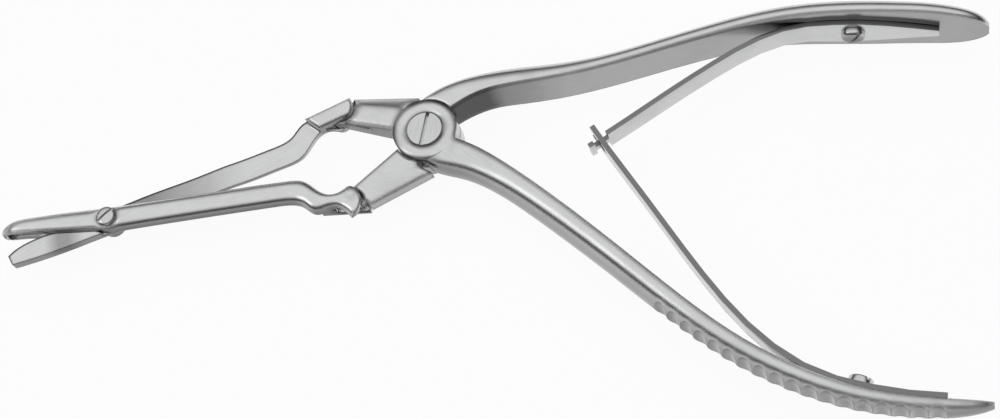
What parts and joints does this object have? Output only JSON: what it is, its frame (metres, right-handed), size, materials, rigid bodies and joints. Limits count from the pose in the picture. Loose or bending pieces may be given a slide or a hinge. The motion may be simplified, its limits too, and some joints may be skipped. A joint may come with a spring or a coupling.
{
  "type": "nasal septum forceps",
  "caption": "Angled double-action nasal septum forceps: crossed levers and jaw bars, channel and blade jaws, leaf springs between a smooth and a serrated handle.",
  "frame": {"origin": "on the axis of the main pivot, at the flat back of the hub", "axes": "+X runs from the jaws to the handles, +Z along the main pivot out of the slotted screw head, +Y to the side of the smooth handle"},
  "size_m": [0.1961, 0.0924, 0.013],
  "materials": {
    "satin_steel": "satin, fine brushed",
    "polished_steel": "fine polished",
    "screw_steel": "turned and polished",
    "spring_steel": "rolled, satin"
  },
  "bodies": {
    "front_lever": {"front_lever": "satin_steel", "lower_spring_leaf": "spring_steel", "lower_spring_screw": "screw_steel"},
    "rear_lever": {"rear_lever": "satin_steel", "main_screw": "screw_steel", "upper_spring_leaf": "spring_steel", "upper_spring_screw": "screw_steel"},
    "rear_bar": {"rear_jaw_bar": "polished_steel", "upper_fork_pin": "screw_steel", "front_screw": "screw_steel"},
    "front_bar": {"front_jaw_bar": "polished_steel", "lower_fork_pin": "screw_steel"}
  },
  "joints": [
    {"name": "handle_close", "type": "hinge", "parent": "front_lever", "child": "rear_lever", "pos_m": [0, 0, 0.0037], "axis": [0, 0, -1], "range_deg": [0, 36.03], "stiffness_Nm_per_rad": 0.8, "deforming": ["upper_spring_leaf", "lower_spring_leaf"]},
    {"name": "rear_bar_turn", "type": "hinge", "parent": "front_lever", "child": "rear_bar", "pos_m": [-0.01654, 0.00936, 0.0037], "axis": [0, 0, -1], "range_deg": [0, 24.4]},
    {"name": "front_bar_turn", "type": "hinge", "parent": "rear_lever", "child": "front_bar", "pos_m": [-0.01654, -0.00936, 0.0037], "axis": [0, 0, 1], "range_deg": [0, 24.4]}
  ],
  "couplings": [
    {"joint": "rear_bar_turn", "follows": "handle_close", "ratio": 0.67709},
    {"joint": "front_bar_turn", "follows": "handle_close", "ratio": 0.67709}
  ]
}
